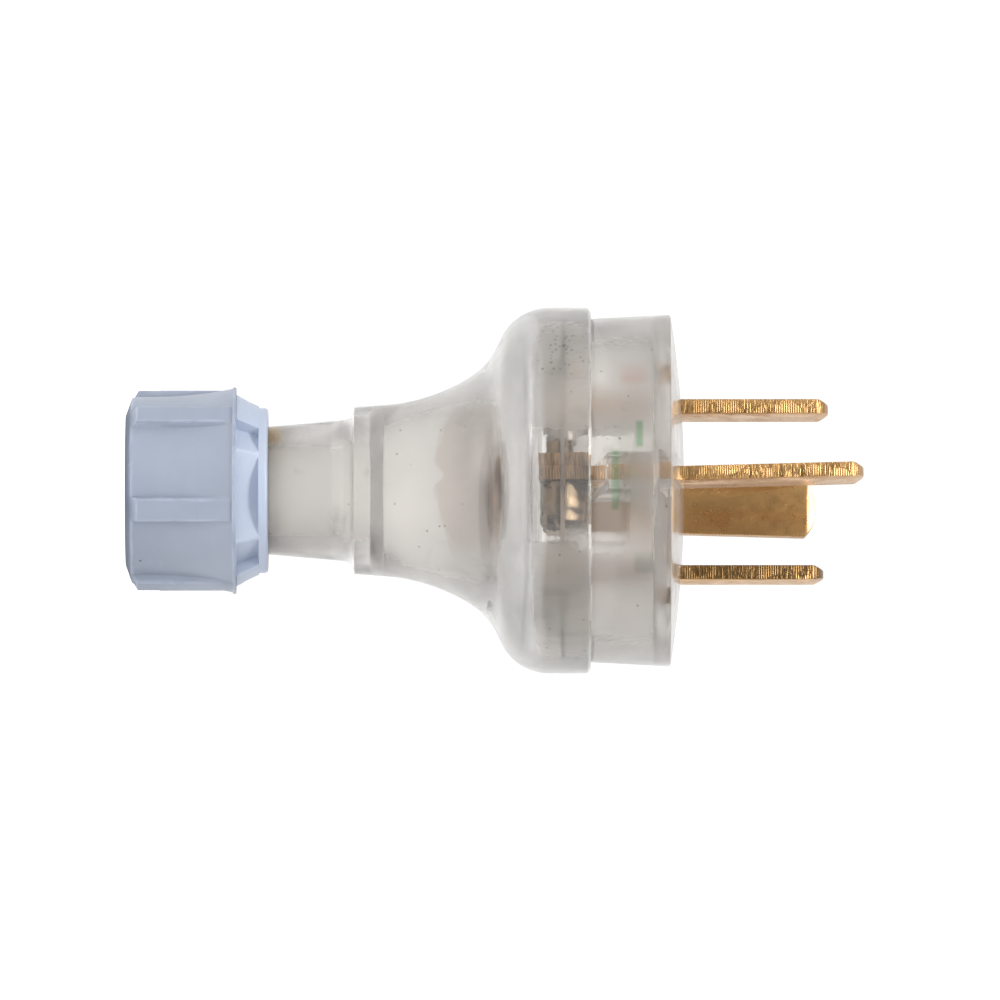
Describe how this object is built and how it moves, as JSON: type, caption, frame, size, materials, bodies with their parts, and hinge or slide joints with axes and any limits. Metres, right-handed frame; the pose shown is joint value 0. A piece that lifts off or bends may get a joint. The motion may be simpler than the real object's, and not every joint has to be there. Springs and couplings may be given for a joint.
{
  "type": "four-pin plug",
  "caption": "Clear-bodied rewirable mains plug with flat brass pins, screw terminals and a threaded cord-grip nut.",
  "frame": {"origin": "centre of the cord-grip nut's flat end, where the cord goes in", "axes": "+Z along the plug's axis from the cord's entry to the pins; -Y through the earth pin, so +X and -X through the side pins"},
  "size_m": [0.0428, 0.0426, 0.0859],
  "materials": {
    "clear_plastic": "clear, slightly hazy",
    "nut_plastic": "satin moulded, pale blue-grey",
    "white_plastic": "natural",
    "seal_rubber": "matt amber",
    "pin_brass": "stamped, bright edges",
    "plated_steel": "nickel plated"
  },
  "bodies": {
    "plug": {"cover": "clear_plastic", "base": "clear_plastic", "slip_washer": "white_plastic", "cord_seal": "seal_rubber", "earth_pin": "pin_brass", "left_pin": "pin_brass", "right_pin": "pin_brass", "cross_pin": "pin_brass", "earth_terminal_nut": "pin_brass", "earth_clamp_cup": "plated_steel", "earth_terminal_screw": "plated_steel", "left_terminal_nut": "pin_brass", "left_clamp_cup": "plated_steel", "left_terminal_screw": "plated_steel", "right_terminal_nut": "pin_brass", "right_clamp_cup": "plated_steel", "right_terminal_screw": "plated_steel", "cross_terminal_nut": "pin_brass", "cross_clamp_cup": "plated_steel", "cross_terminal_screw": "plated_steel"},
    "nut": {"cord_grip_nut": "nut_plastic"}
  },
  "joints": [
    {"name": "nut_turn", "type": "hinge", "parent": "plug", "child": "nut", "pos_m": [0, 0, 0.0083], "axis": [0, 0, 1], "range_deg": [-330, 0]}
  ]
}
